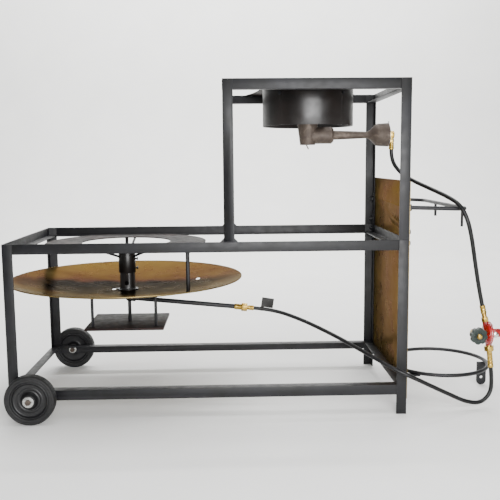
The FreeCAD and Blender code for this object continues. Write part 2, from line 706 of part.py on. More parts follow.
def bottle_handwheel():
    """Eight-lobed handwheel that turns on the nipple."""
    centre = V(NIPPLE_X, HANDWHEEL_Y0, REG.z)
    wheel = Part.makeCylinder(26.5, HANDWHEEL_T, centre, -Y)
    for i in range(8):
        angle = math.radians(45 * i + 12)
        away = V(math.cos(angle), 0, math.sin(angle)) * 30.5
        wheel = wheel.cut(Part.makeCylinder(7.0, HANDWHEEL_T, centre + away, -Y))
    dish = Part.makeCylinder(15.0, 5.0, V(NIPPLE_X, HANDWHEEL_Y0 - HANDWHEEL_T + 5.0, REG.z), -Y)
    dish = dish.cut(Part.makeCylinder(10.5, 5.0, V(NIPPLE_X, HANDWHEEL_Y0 - HANDWHEEL_T + 5.0, REG.z), -Y))
    bore = Part.makeCylinder(WHEEL_BORE_R, HANDWHEEL_T, centre, -Y)
    return wheel.cut(dish).cut(bore)


def brass_outlets():
    """Outlet fittings above and below the regulator."""
    start = PORT_HUB + PORT_UP * BOSS
    nut = hexagon(start, PORT_UP, 13, 19)
    neck = rod(start + PORT_UP * 13, PORT_HUB + PORT_UP * (UP_END - 26), 7.5)
    low = PORT_HUB + PORT_DOWN * BOSS
    collar = rod(low, low + PORT_DOWN * 4, 8.5)
    valve = hexagon(low + PORT_DOWN * 4, PORT_DOWN, 15, 27)
    tail = rod(low + PORT_DOWN * 19, PORT_HUB + PORT_DOWN * (DOWN_END - 30), 8.5)
    return group([join(nut, neck), join(collar, valve, tail)])


def hose_sleeves():
    """The four crimp sleeves where the hoses end."""
    burner = crimp_sleeve(V(ORIFICE_X, MID_Y, TOP_SLEEVE_Z), -Z, 20)
    upper = crimp_sleeve(PORT_HUB + PORT_UP * (UP_END - 26), PORT_UP, 26)
    lower = crimp_sleeve(PORT_HUB + PORT_DOWN * (DOWN_END - 30), PORT_DOWN, 30)
    union = crimp_sleeve(feed_point(UNION_AT + 50), FEED_WAY, HOSE_AT - UNION_AT - 50)
    return group([burner, upper, lower, union])


# ---- hoses: routes in stand coordinates ----
UPPER_ROUTE = [
    (1249, 281, 836), (1249, 281, 800), (1274, 262, 758), (1301, 208, 733), (1336, 130, 710),
    (1373, 48, 686), (1401, 0, 662), (1421, -13, 618), (1437, -7, 562), (1452, 8, 500)]
LOWER_ROUTE = [
    (935, 238, 257), (1015, 178, 228), (1088, 108, 199), (1152, 14, 176), (1210, -32, 150),
    (1268, -36, 124), (1326, -24, 93), (1386, -6, 61), (1440, 12, 32), (1492, 24, 22),
    (1526, 31, 52)]
UP_RUN, DOWN_RUN, UNION_RUN = 55.0, 40.0, 70.0     # straight runs out of the fittings


def hose(route):
    """Tube along the route; prints the bend radii and checks the volume."""
    points = [V(*p) for p in route]
    radii = []
    for before, at, after in zip(points, points[1:], points[2:]):
        turn = (at - before).getAngle(after - at)
        run = min((at - before).Length, (after - at).Length)
        radii.append(0.45 * run / math.tan(turn / 2))
    tube, length = bent_bar(points, radii, HOSE_R)
    share = tube.Volume / (math.pi * HOSE_R ** 2 * length)
    print("hose radii", [round(r) for r in radii], "length", round(length), "volume", round(share, 4))
    return tube


def upper_hose():
    bend, end = PORT_HUB + PORT_UP * (UP_END + UP_RUN), PORT_HUB + PORT_UP * UP_END
    return hose(UPPER_ROUTE + [tuple(bend), tuple(end)])


def lower_hose():
    bend, end = PORT_HUB + PORT_DOWN * (DOWN_END + DOWN_RUN), PORT_HUB + PORT_DOWN * DOWN_END
    start = [tuple(feed_point(HOSE_AT)), tuple(feed_point(HOSE_AT + UNION_RUN))]
    return hose(start + LOWER_ROUTE + [tuple(bend), tuple(end)])


def hose_tag():
    """Blank label: a small sleeve round the hose with a flag standing on it."""
    at = feed_point(HOSE_AT + 30)
    clip = ring(at - FEED_WAY * 5, FEED_WAY, 10, HOSE_R + 1.2, HOSE_R - 0.3)
    flag = Part.makeBox(42, 0.8, 34)
    flag.Placement = FreeCAD.Placement(V(0, 0, 0), FreeCAD.Rotation(Y, 9))
    flag.translate(at + V(-4, -0.4, HOSE_R + 1.0))
    return join(clip, flag)


# ---- wheels ----
def axle_point(name, outward):
    """Point on a wheel's axle, `outward` from the frame's face."""
    if name == "front":
        return V(WHEEL_X, -outward, WHEEL_R)
    return V(WHEEL_X, DEPTH + outward, WHEEL_R)


def outward_way(name):
    return -Y if name == "front" else Y


WHEEL_MID = 31.0                    # wheel's middle plane, out from the frame
SPACER = 6.0
HUB_START, HUB_END = SPACER + 0.3, SPACER + 0.3 + HUB_W


def tyre(name):
    start, way = axle_point(name, 0), outward_way(name)
    inner, outer = WHEEL_MID - WHEEL_W / 2, WHEEL_MID + WHEEL_W / 2
    return revolve([(inner + 4, 58), (inner, 62), (inner, 72), (inner + 4, WHEEL_R - 1),
                    (inner + 8, WHEEL_R), (outer - 8, WHEEL_R), (outer - 4, WHEEL_R - 1),
                    (outer, 72), (outer, 62), (outer - 4, 58)], start, way)


def hub(name):
    """Dished hub with a stepped rim and a long bushing."""
    start, way = axle_point(name, 0), outward_way(name)
    inner, outer = WHEEL_MID - WHEEL_W / 2, WHEEL_MID + WHEEL_W / 2
    return revolve([(HUB_START, AXLE_BORE_R), (HUB_START, 20), (inner + 13, 24), (inner + 13, 50),
                    (inner + 4, 54), (inner + 4, 58), (outer - 4, 58), (outer - 4, 54),
                    (outer - 11, 50), (outer - 13, 26), (outer - 3, 21), (HUB_END, 19),
                    (HUB_END, AXLE_BORE_R)], start, way)


WASHER_AT = HUB_END + 0.3           # outer washer's inner face
WASHER_T = 2.2


def axle_hardware():
    """Bolts, washers with spacers, and nuts of the two axles."""
    bolts, washers, nuts = [], [], []
    for name in ("front", "rear"):
        way = outward_way(name)
        head = hexagon(axle_point(name, WASHER_AT + WASHER_T), way, 6.4, 16)
        tail = axle_point(name, -WALL - WASHER_T - 12)
        bolts.append(join(head, rod(tail, axle_point(name, WASHER_AT + WASHER_T), AXLE_R)))
        washers.append(ring(axle_point(name, 0), way, SPACER, 12, AXLE_R))
        washers.append(ring(axle_point(name, WASHER_AT), way, WASHER_T, 17, AXLE_R))
        washers.append(ring(axle_point(name, -WALL - WASHER_T), way, WASHER_T, 14, AXLE_R))
        nuts.append(hexagon(axle_point(name, -WALL - WASHER_T), -way, 8, 16, AXLE_R))
    return {"axle_bolts": group(bolts), "axle_washers": group(washers), "axle_nuts": group(nuts)}


# ---- every node ----
def all_nodes():
    nodes = {}
    nodes.update(frame_rails())
    nodes.update(frame_posts())
    nodes.update(axle_hardware())
    for name in ("front", "rear"):
        nodes["tyre_" + name] = tyre(name)
        nodes["hub_" + name] = hub(name)
    pieces = (splice_plates, splice_bolts, end_nuts, heat_shield, bar_rack, tank_ring,
              ring_straps, ring_foot, lower_deck, wide_dish, burner_sleeve, burner_tube,
              burner_nozzle, gas_pipes, hanger_spider, dish_hangers, drip_tray, tray_rods,
              pipe_elbow, brass_union, upper_deck, wind_guard, drum_tabs, drum_bolts,
              burner_bar, burner_bowl, burner_cap, venturi, air_shutter, orifice_elbow,
              regulator_body, diaphragm, bonnet, bonnet_screws, adjusting_knob, inlet_pipe,
              bottle_handwheel, brass_outlets, hose_sleeves, upper_hose, lower_hose, hose_tag)
    for piece in pieces:
        nodes[piece.__name__] = piece()
    return nodes


def main():
    os.makedirs("parts", exist_ok=True)
    for name, shape in all_nodes().items():
        placed = stand_place(shape)
        if not placed.isValid() or not placed.Solids:
            raise ValueError(name + " is not a valid solid")
        placed.exportStep("parts/" + name + ".step")


main()
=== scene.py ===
"""Propane burner stand: finishes, hoses, welds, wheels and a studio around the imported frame."""

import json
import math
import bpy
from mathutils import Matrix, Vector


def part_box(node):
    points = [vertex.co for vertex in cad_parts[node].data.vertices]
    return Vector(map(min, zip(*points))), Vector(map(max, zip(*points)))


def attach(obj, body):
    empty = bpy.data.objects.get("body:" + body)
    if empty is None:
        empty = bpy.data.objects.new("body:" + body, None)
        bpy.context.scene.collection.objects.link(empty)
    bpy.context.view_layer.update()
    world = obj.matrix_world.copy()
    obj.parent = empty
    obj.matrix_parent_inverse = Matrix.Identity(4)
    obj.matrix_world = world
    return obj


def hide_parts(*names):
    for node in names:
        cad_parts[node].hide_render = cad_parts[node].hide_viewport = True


bl_info = {
    "name": "Propane burner stand",
    "version": (1, 0, 0),
    "blender": (4, 5, 0),
    "location": "View3D > Sidebar > Burner Stand",
    "description": "Builds the finishes, hoses, welds and wheels of a welded gas burner stand",
    "category": "Object",
}

import bmesh
import bpy
from mathutils import Matrix, Vector

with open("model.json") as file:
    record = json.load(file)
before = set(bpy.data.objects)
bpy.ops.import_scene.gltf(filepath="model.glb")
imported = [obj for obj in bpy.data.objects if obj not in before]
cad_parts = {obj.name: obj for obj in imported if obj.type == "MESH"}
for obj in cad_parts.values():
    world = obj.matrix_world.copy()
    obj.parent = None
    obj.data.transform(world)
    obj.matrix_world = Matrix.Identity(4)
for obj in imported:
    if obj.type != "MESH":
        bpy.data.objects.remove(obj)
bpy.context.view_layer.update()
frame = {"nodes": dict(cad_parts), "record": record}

MM = 0.001
BODY_OF = {node: body
           for body, nodes in frame["record"]["behaviour"]["bodies"].items() for node in nodes}

# The dish's dark middle band is painted shade and dark reflection; the next two values centre it
# and size it
DISH_MIDDLE_X = -0.434  # metres
SHADE_BAND_PER_METRE = (3.1, 8.0, 0.0)  # one over half the length and half the depth of the dish's band
DISH_FLAT, DISH_RUN, DISH_RISE = 0.05, 0.345, 0.045  # flat middle, then a parabola, metres
DISH_SKIN = 0.0025  # where a weld sits above the dish's underside, metres
# Radii of the weld beads round uprights, metres
HANGER_TOP_BEAD, HANGER_RAIL_BEAD = 0.0068, 0.0066
TRAY_ROD_BEAD, BURNER_TUBE_BEAD = 0.0055, 0.0268

# Hose routes, metres: the control points of each hose's smooth line.
UPPER_ROUTE = [
    (0.477, 0.0, 0.836), (0.477, 0.0, 0.800), (0.502, -0.019, 0.758), (0.529, -0.073, 0.733),
    (0.564, -0.151, 0.710), (0.601, -0.233, 0.686), (0.629, -0.281, 0.662),
    (0.649, -0.294, 0.618), (0.665, -0.288, 0.562), (0.680, -0.273, 0.500),
    (0.7066, -0.248, 0.3934), (0.7188, -0.248, 0.3397)]
LOWER_ROUTE = [
    (0.0009, 0.0, 0.2904), (0.0705, 0.0, 0.2834), (0.163, -0.043, 0.257), (0.243, -0.103, 0.228),
    (0.316, -0.173, 0.199), (0.380, -0.267, 0.176), (0.438, -0.313, 0.150),
    (0.496, -0.317, 0.124), (0.554, -0.305, 0.093), (0.614, -0.287, 0.061),
    (0.668, -0.269, 0.032), (0.720, -0.257, 0.022), (0.754, -0.250, 0.052),
    (0.7572, -0.248, 0.0991), (0.7524, -0.248, 0.1388)]


# ---- colour and material helpers ----
def paint(hex_code):
    """Linear RGBA from an sRGB hex value."""
    channels = [int(hex_code[i:i + 2], 16) / 255 for i in (0, 2, 4)]
    linear = [c / 12.92 if c <= 0.04045 else ((c + 0.055) / 1.055) ** 2.4 for c in channels]
    return (*linear, 1.0)


def add_node(tree, kind, values=None, links=None, **settings):
    """Adds a node with its settings, socket values and incoming links."""
    node = tree.nodes.new(kind)
    for key, value in settings.items():
        setattr(node, key, value)
    for key, value in (values or {}).items():
        node.inputs[key].default_value = value
    for key, output in (links or {}).items():
        tree.links.new(output, node.inputs[key])
    return node


def surface(name, metallic=0.0, ior=1.5, coat=0.0, coat_roughness=0.1, shine=0.5):
    """New material with its shader; returns the material, its tree, shader and coordinates."""
    material = bpy.data.materials.new(name)
    material.use_nodes = True
    tree = material.node_tree
    tree.nodes.clear()
    output = add_node(tree, "ShaderNodeOutputMaterial")
    shader = add_node(tree, "ShaderNodeBsdfPrincipled", {"Metallic": metallic})
    if not metallic:
        shader.inputs["IOR"].default_value = ior
        shader.inputs["Specular IOR Level"].default_value = shine
    if coat:
        shader.inputs["Coat Weight"].default_value = coat
        shader.inputs["Coat Roughness"].default_value = coat_roughness
    tree.links.new(shader.outputs["BSDF"], output.inputs["Surface"])
    coords = add_node(tree, "ShaderNodeTexCoord")
    return material, tree, shader, coords.outputs["Object"]


def noise(tree, coords, size_mm, detail=3.0, distortion=0.0):
    """Noise whose blotches are about size_mm across."""
    node = add_node(tree, "ShaderNodeTexNoise",
                    {"Scale": 1000.0 / size_mm, "Detail": detail, "Distortion": distortion},
                    {"Vector": coords})
    return node.outputs["Fac"]


def tone(tree, shader, factor, stops):
    """Base colour from a ramp of (position, hex) stops."""
    ramp = add_node(tree, "ShaderNodeValToRGB", links={"Fac": factor})
    elements = ramp.color_ramp.elements
    while len(elements) < len(stops):
        elements.new(0.5)
    for element, (position, colour) in zip(elements, stops):
        element.position = position
        element.color = colour if isinstance(colour, tuple) else paint(colour)
    tree.links.new(ramp.outputs["Color"], shader.inputs["Base Color"])


def gloss(tree, shader, factor, low, high):
    """Roughness that wanders between two values."""
    span = add_node(tree, "ShaderNodeMapRange", {"From Min": 0.3, "From Max": 0.7,
                                                 "To Min": low, "To Max": high},
                    {"Value": factor})
    tree.links.new(span.outputs["Result"], shader.inputs["Roughness"])


def relief(tree, shader, height, strength, depth_mm, below=None):
    """Bump from a height, on top of an earlier bump if one is given."""
    links = {"Height": height}
    if below is not None:
        links["Normal"] = below.outputs["Normal"]
    node = add_node(tree, "ShaderNodeBump", {"Strength": strength, "Distance": depth_mm * MM},
                    links)
    tree.links.new(node.outputs["Normal"], shader.inputs["Normal"])
    return node


def sprayed_enamel(colours):
    """Black alkyd enamel sprayed on mill-scale steel: half gloss, faint orange peel, some dust."""
    material, tree, shader, coords = surface("sprayed black enamel", ior=1.5, shine=0.36)
    tone(tree, shader, noise(tree, coords, 90, 5.0, 0.6),
         [(0.35, tuple(colours.frame_dark)), (0.72, tuple(colours.frame_light))])
    gloss(tree, shader, noise(tree, coords, 22, 4.0), 0.42, 0.54)
    # spray texture is about 1 mm; drawn at 3 mm so that it shows
    peel = relief(tree, shader, noise(tree, coords, 3.0, 2.0), 0.25, 0.12)
    relief(tree, shader, noise(tree, coords, 45, 2.0), 0.3, 0.5, peel)
    return material


def bronzed_sheet(colours):
    """Lacquered sheet steel baked to a bronze: half a mirror, with a band of painted shade and
    dark reflection across the middle.
    """
    material, tree, shader, coords = surface("bronzed lacquer on sheet steel", metallic=0.9)
    shader.inputs["Specular Tint"].default_value = paint("8A7E5E")
    # painted shade and dark reflection: a dark band across the middle of the dish, 640 mm by 250
    # mm, that fades out
    place = add_node(tree, "ShaderNodeMapping", {"Location": (-DISH_MIDDLE_X, 0.0, 0.0)},
                     {"Vector": coords}, vector_type="POINT")
    flat = add_node(tree, "ShaderNodeVectorMath", {1: SHADE_BAND_PER_METRE},
                    {0: place.outputs["Vector"]}, operation="MULTIPLY")
    reach = add_node(tree, "ShaderNodeVectorMath", links={0: flat.outputs["Vector"]},
                     operation="LENGTH")
    ragged = add_node(tree, "ShaderNodeMath", {1: 0.7},
                      {0: noise(tree, coords, 120, 5.0, 0.8)}, operation="MULTIPLY")
    painted_shade_band = add_node(tree, "ShaderNodeMath",
                    links={0: reach.outputs["Value"], 1: ragged.outputs["Value"]},
                    operation="ADD")
    shade = add_node(tree, "ShaderNodeMapRange", {"From Min": 1.0, "From Max": 1.7,
                                                  "To Min": 0.2, "To Max": 0.72},
                     {"Value": painted_shade_band.outputs["Value"]})
    cloud = add_node(tree, "ShaderNodeMath", {1: 0.3},
                     {0: noise(tree, coords, 190, 5.0, 1.4)}, operation="MULTIPLY")
    mixed = add_node(tree, "ShaderNodeMath",
                     links={0: shade.outputs["Result"], 1: cloud.outputs["Value"]},
                     operation="ADD")
    # the two darkest stops paint that shade and dark reflection; the other stops are the bronze's
    # own tone
    tone(tree, shader, mixed.outputs["Value"],
         [(0.3, "0C0806"), (0.52, tuple(colours.bronze_painted_shade)), (0.76, tuple(colours.bronze)),
          (0.95, tuple(colours.bronze_light))])
    gloss(tree, shader, noise(tree, coords, 60, 5.0), 0.24, 0.36)
    # rolling waves of thin sheet, about 70 mm apart
    waves = relief(tree, shader, noise(tree, coords, 110, 1.0), 0.15, 0.6)
    relief(tree, shader, noise(tree, coords, 4.0, 2.0), 0.1, 0.1, waves)
    return material


def black_sheet(colours):
    """Gloss black enamel on rolled sheet: a smooth skin with long soft reflections."""
    material, tree, shader, coords = surface("gloss black enamel on sheet", ior=1.52, shine=0.45)
    tone(tree, shader, noise(tree, coords, 120, 4.0, 0.8),
         [(0.35, "0C0B0B"), (0.8, "1C1512")])
    gloss(tree, shader, noise(tree, coords, 30, 4.0), 0.28, 0.4)
    relief(tree, shader, noise(tree, coords, 3.5, 2.0), 0.15, 0.1)
    return material


def heat_dulled_sheet(colours):
    """Black enamel on sheet steel gone dull and brown over the flame."""
    material, tree, shader, coords = surface("heat-dulled black enamel", ior=1.5, shine=0.2)
    tone(tree, shader, noise(tree, coords, 70, 5.0, 0.8),
         [(0.35, tuple(colours.frame_dark)), (0.75, tuple(colours.dulled))])
    gloss(tree, shader, noise(tree, coords, 25, 4.0), 0.5, 0.66)
    relief(tree, shader, noise(tree, coords, 3.0, 2.0), 0.2, 0.1)
    return material


def sand_cast_iron(colours):
    """Bare grey iron from a sand mould: gritty, dull, browned by a little rust."""
    material, tree, shader, coords = surface("sand-cast grey iron", metallic=0.4)
    tone(tree, shader, noise(tree, coords, 28, 7.0, 0.8),
         [(0.3, "463C36"), (0.55, tuple(colours.iron)), (0.8, "75685E"), (0.9, "664D3E")])
    gloss(tree, shader, noise(tree, coords, 9, 5.0), 0.5, 0.72)
    # moulding-sand grain is 0.3 mm; drawn at 1.6 mm
    grit = relief(tree, shader, noise(tree, coords, 1.6, 3.0), 0.55, 0.35)
    relief(tree, shader, noise(tree, coords, 14, 3.0), 0.4, 0.9, grit)
    return material


def turned_brass(colours):
    """Brass turned on a lathe and handled: warm, bright, with dull finger marks."""
    material, tree, shader, coords = surface("turned brass", metallic=1.0)
    tone(tree, shader, noise(tree, coords, 9, 5.0, 0.5),
         [(0.3, "8E6A2E"), (0.52, tuple(colours.brass)), (0.75, "E0BE74")])
    gloss(tree, shader, noise(tree, coords, 5, 4.0), 0.22, 0.42)
    relief(tree, shader, noise(tree, coords, 1.2, 2.0), 0.12, 0.06)
    return material


def zinc_plate(colours):
    """Bright zinc on pressed fasteners: blue-grey, finely clouded."""
    material, tree, shader, coords = surface("bright zinc plate", metallic=1.0)
    tone(tree, shader, noise(tree, coords, 4, 4.0),
         [(0.3, "8F9396"), (0.55, tuple(colours.zinc)), (0.8, "E6E4DF")])
    gloss(tree, shader, noise(tree, coords, 3, 3.0), 0.24, 0.42)
    relief(tree, shader, noise(tree, coords, 1.0, 2.0), 0.12, 0.05)
    return material


def nickel_plate(colours):
    """Nickel on a turned knob: pale, close to a mirror."""
    material, tree, shader, coords = surface("polished nickel plate", metallic=1.0)
    tone(tree, shader, noise(tree, coords, 5, 3.0),
         [(0.35, "BDBAB6"), (0.75, tuple(colours.nickel))])
    gloss(tree, shader, noise(tree, coords, 3, 3.0), 0.12, 0.24)
    relief(tree, shader, noise(tree, coords, 1.5, 2.0), 0.06, 0.04)
    return material


def red_enamel(colours):
    """Baked red enamel over die-cast zinc: wet gloss with slightly rounded casting texture."""
    material, tree, shader, coords = surface("baked red enamel on die-cast zinc", ior=1.52,
                                             coat=0.3, coat_roughness=0.12)
    tone(tree, shader, noise(tree, coords, 12, 4.0),
         [(0.3, "6E070A"), (0.6, tuple(colours.red)), (0.85, "A81A18")])
    gloss(tree, shader, noise(tree, coords, 8, 3.0), 0.22, 0.36)
    relief(tree, shader, noise(tree, coords, 2.4, 2.0), 0.25, 0.12)
    return material


def green_phenolic(colours):
    """Moulded dark green plastic: smooth, half gloss, with pale rubbed edges."""
    material, tree, shader, coords = surface("moulded green phenolic", ior=1.55, shine=0.4)
    tone(tree, shader, noise(tree, coords, 7, 4.0),
         [(0.3, "0C1713"), (0.6, tuple(colours.green)), (0.85, "22332D")])
    gloss(tree, shader, noise(tree, coords, 4, 3.0), 0.3, 0.46)
    relief(tree, shader, noise(tree, coords, 1.4, 2.0), 0.2, 0.1)
    return material


def tyre_rubber(colours):
    """Black vulcanised rubber: matt, with a bloom of grey dust."""
    material, tree, shader, coords = surface("vulcanised black rubber", ior=1.52, shine=0.4)
    tone(tree, shader, noise(tree, coords, 26, 6.0, 0.5),
         [(0.3, tuple(colours.rubber)), (0.62, "141415"), (0.85, "242321")])
    gloss(tree, shader, noise(tree, coords, 10, 4.0), 0.5, 0.72)
    relief(tree, shader, noise(tree, coords, 1.3, 3.0), 0.35, 0.15)
    return material


def moulded_hub(colours):
    """Injection-moulded black polypropylene: waxy, finely spark-textured."""
    material, tree, shader, coords = surface("moulded black polypropylene", ior=1.49, shine=0.45)
    tone(tree, shader, noise(tree, coords, 30, 4.0),
         [(0.3, "0F0F10"), (0.7, tuple(colours.hub))])
    gloss(tree, shader, noise(tree, coords, 9, 3.0), 0.38, 0.52)
    # spark texture is 0.1 mm; drawn at 0.9 mm
    relief(tree, shader, noise(tree, coords, 0.9, 2.0), 0.25, 0.06)
    return material


def hose_cover(colours):
    """Extruded gas-hose rubber: satin black with light dust and a soft wrapped ripple."""
    material, tree, shader, coords = surface("extruded hose rubber", ior=1.52, shine=0.28)
    tone(tree, shader, noise(tree, coords, 18, 5.0),
         [(0.35, tuple(colours.hose)), (0.8, "1A1A1B")])
    gloss(tree, shader, noise(tree, coords, 12, 3.0), 0.3, 0.48)
    relief(tree, shader, noise(tree, coords, 2.0, 2.0), 0.2, 0.12)
    return material


def card_label(colours):
    """Blank coated card: dull dark stock with soft fibres."""
    material, tree, shader, coords = surface("coated card", ior=1.46, shine=0.3)
    tone(tree, shader, noise(tree, coords, 8, 6.0),
         [(0.3, "171514"), (0.6, tuple(colours.card)), (0.85, "3E3936")])
    gloss(tree, shader, noise(tree, coords, 6, 4.0), 0.42, 0.6)
    relief(tree, shader, noise(tree, coords, 0.8, 3.0), 0.2, 0.05)
    return material


def studio_paper(colours):
    """Matt background paper: pale, with barely visible pulp."""
    material, tree, shader, coords = surface("matt background paper", ior=1.4)
    tone(tree, shader, noise(tree, coords, 300, 3.0),
         [(0.3, tuple(colours.paper)), (0.8, "F7F7F5")])
    gloss(tree, shader, noise(tree, coords, 80, 2.0), 0.8, 0.9)
    relief(tree, shader, noise(tree, coords, 6, 2.0), 0.05, 0.1)
    return material


MAKERS = {
    "frame": sprayed_enamel, "dull_sheet": heat_dulled_sheet, "bronze": bronzed_sheet,
    "black_sheet": black_sheet,
    "iron": sand_cast_iron, "brass": turned_brass, "zinc": zinc_plate, "nickel": nickel_plate,
    "red": red_enamel, "green": green_phenolic, "tyre": tyre_rubber, "hub": moulded_hub,
    "hose": hose_cover, "card": card_label, "paper": studio_paper,
}
made = {}


def finish_of(kind):
    """The material of a kind, made the first time it is asked for."""
    if kind not in made:
        made[kind] = MAKERS[kind](bpy.context.scene.stand_colours)
    return made[kind]


# ---- shape helpers ----
def new_piece(name, bm, kind, body, replaces=(), crease=32):
    """Turns a bmesh into a finished piece that rides on a body."""
    mesh = bpy.data.meshes.new(name)
    bm.to_mesh(mesh)
    bm.free()
    mesh.materials.append(finish_of(kind))
    mesh.polygons.foreach_set("use_smooth", [True] * len(mesh.polygons))
    mesh.set_sharp_from_angle(angle=math.radians(crease))
    piece = bpy.data.objects.new(name, mesh)
    bpy.context.scene.collection.objects.link(piece)
    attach(piece, body)
    if replaces:
        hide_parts(*replaces)
    return piece


def round_edges(bm, width, steps, smallest=40, hollow=None):
    """Bevels the edges sharper than an angle; hollow picks inner (True) or outer (False) ones."""
    chosen = []
    for edge in bm.edges:
        if not edge.is_manifold:
            continue
        angle = math.degrees(edge.calc_face_angle_signed(0.0))
        if abs(angle) > smallest and (hollow is None or (angle < 0) == hollow):
            chosen.append(edge)
    if chosen:
        bmesh.ops.bevel(bm, geom=chosen, offset=width, offset_type="OFFSET", segments=steps,
                        profile=0.5, affect="EDGES", clamp_overlap=True, material=-1)


def finished_node(node, kind, edge_mm, root_mm=0.0, steps=2):
    """Merged copy of a CAD node with its edges eased, shown in the node's place."""
    bm = bmesh.new()
    bm.from_mesh(frame["nodes"][node].data)
    bmesh.ops.remove_doubles(bm, verts=bm.verts, dist=2e-6)
    bmesh.ops.dissolve_limit(bm, angle_limit=math.radians(0.3), use_dissolve_boundaries=False,
                             verts=bm.verts, edges=bm.edges)
    if root_mm:
        round_edges(bm, root_mm * MM, 3, hollow=True)
    if edge_mm:
        round_edges(bm, edge_mm * MM, steps)
    return new_piece(f"{node}_finished", bm, kind, BODY_OF[node], [node])


def finished_solids(node, kind, edge_mm, endings, steps=2):
    """Like finished_node, with a piece for each of the node's solids, from the top down."""
    whole = bmesh.new()
    whole.from_mesh(frame["nodes"][node].data)
    bmesh.ops.remove_doubles(whole, verts=whole.verts, dist=2e-6)
    groups, seen = [], set()
    for vert in whole.verts:
        if vert in seen:
            continue
        group, waiting = set(), [vert]
        while waiting:
            here = waiting.pop()
            if here not in group:
                group.add(here)
                waiting += [edge.other_vert(here) for edge in here.link_edges]
        seen |= group
        groups.append({v.index for v in group})
    whole.verts.index_update()
    whole.verts.ensure_lookup_table()
    groups.sort(key=lambda group: -sum(whole.verts[i].co.z for i in group) / len(group))
    pieces = []
    for ending, group in zip(endings, groups, strict=True):
        bm = whole.copy()
        bmesh.ops.delete(bm, geom=[v for v in bm.verts if v.index not in group], context="VERTS")
        round_edges(bm, edge_mm * MM, steps)
        pieces.append(new_piece(f"{node}_{ending}", bm, kind, BODY_OF[node]))
    whole.free()
    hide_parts(node)
    return pieces


def turned(profile, start, way, steps, edge_mm=0.0):
    """Lathe shape: (along, radius) points in millimetres, turned about a line."""
    bm = bmesh.new()
    points = [bm.verts.new((radius * MM, 0, along * MM)) for along, radius in profile]
    edges = [bm.edges.new(pair) for pair in zip(points, points[1:] + points[:1])]
    bmesh.ops.spin(bm, geom=points + edges, cent=(0, 0, 0), axis=(0, 0, 1), dvec=(0, 0, 0),
                   angle=math.tau, steps=steps, use_merge=True, use_duplicate=False)
    bmesh.ops.remove_doubles(bm, verts=bm.verts, dist=1e-6)
    bmesh.ops.recalc_face_normals(bm, faces=bm.faces)
    if edge_mm:
        round_edges(bm, edge_mm * MM, 3, smallest=24)
    turn = Vector(way).to_track_quat("Z", "X").to_matrix().to_4x4()
    bmesh.ops.transform(bm, matrix=Matrix.Translation(Vector(start)) @ turn, verts=bm.verts)
    return bm


def bead(bm, start, end, width):
    """Weld bead: overlapping ripples along a line, each a flattened drop."""
    start, end = Vector(start), Vector(end)
    run = end - start
    count = max(2, round(run.length / (width * 0.8)))
    turn = run.to_track_quat("X", "Z").to_matrix().to_4x4()
    for i in range(count):
        swell = 1 + 0.16 * math.sin(2.4 * i + 40 * start.x + 23 * start.z)
        place = start + run * ((i + 0.5) / count)
        size = Matrix.Diagonal((0.85 * width, 0.5 * width * swell, 0.5 * width * swell, 1))
        bmesh.ops.create_uvsphere(bm, u_segments=10, v_segments=6, radius=1.0,
                                  matrix=Matrix.Translation(place) @ turn @ size)


def ring_bead(bm, centre, radius, width, drops=14):
    """Weld bead run once round an upright rod."""
    centre = Vector(centre)
    for i in range(drops):
        angle = math.tau * i / drops
        way = Vector((math.cos(angle), math.sin(angle), 0))
        turn = Matrix.Rotation(angle + math.pi / 2, 4, "Z")
        swell = 1 + 0.15 * math.sin(2.1 * i + 50 * centre.x)
        size = Matrix.Diagonal((0.36 * math.tau * radius / drops + 0.35 * width,
                                0.5 * width * swell, 0.5 * width * swell, 1))
        bmesh.ops.create_uvsphere(bm, u_segments=8, v_segments=6, radius=1.0,
                                  matrix=Matrix.Translation(centre + way * radius) @ turn @ size)


# ---- user settings ----
def colour_property(name, description, hex_code):
    return bpy.props.FloatVectorProperty(name=name, description=description, size=4, min=0.0,
                                         max=1.0, subtype="COLOR", default=paint(hex_code))


class StandColours(bpy.types.PropertyGroup):
    frame_dark: colour_property("Frame, dark", "Deepest tone of the frame's enamel", "0B0B0C")
    frame_light: colour_property("Frame, light", "Dusty tone of the frame's enamel", "17171C")
    # this colour paints the painted shade and dark reflection in the dish's middle band
    bronze_painted_shade: colour_property("Sheet, dark", "Heat-darkened bands of the dish", "2A2115")
    bronze: colour_property("Sheet, bronze", "Main tone of the dish and shield", "6E5D3C")
    bronze_light: colour_property("Sheet, light", "Palest tone of the dish and shield", "80704B")
    dulled: colour_property("Dulled sheet", "Brown tone of the decks and tray", "2A1914")
    iron: colour_property("Cast iron", "Main tone of the cast burner", "51473F")
    brass: colour_property("Brass", "Main tone of the fittings", "B39648")
    zinc: colour_property("Zinc", "Main tone of the fasteners", "C4C4C0")
    nickel: colour_property("Nickel", "Tone of the adjusting knob", "E2E0DC")
    red: colour_property("Regulator", "Main tone of the regulator", "960C10")
    green: colour_property("Handwheel", "Main tone of the bottle handwheel", "12231D")
    rubber: colour_property("Tyre", "Deepest tone of the tyres", "0F0F10")
    hub: colour_property("Hub", "Main tone of the wheel hubs", "19191B")
    hose: colour_property("Hose", "Main tone of the gas hoses", "080809")
    card: colour_property("Label", "Tone of the blank label", "1A1817")
    paper: colour_property("Background", "Tone of the studio paper", "F2F2F0")


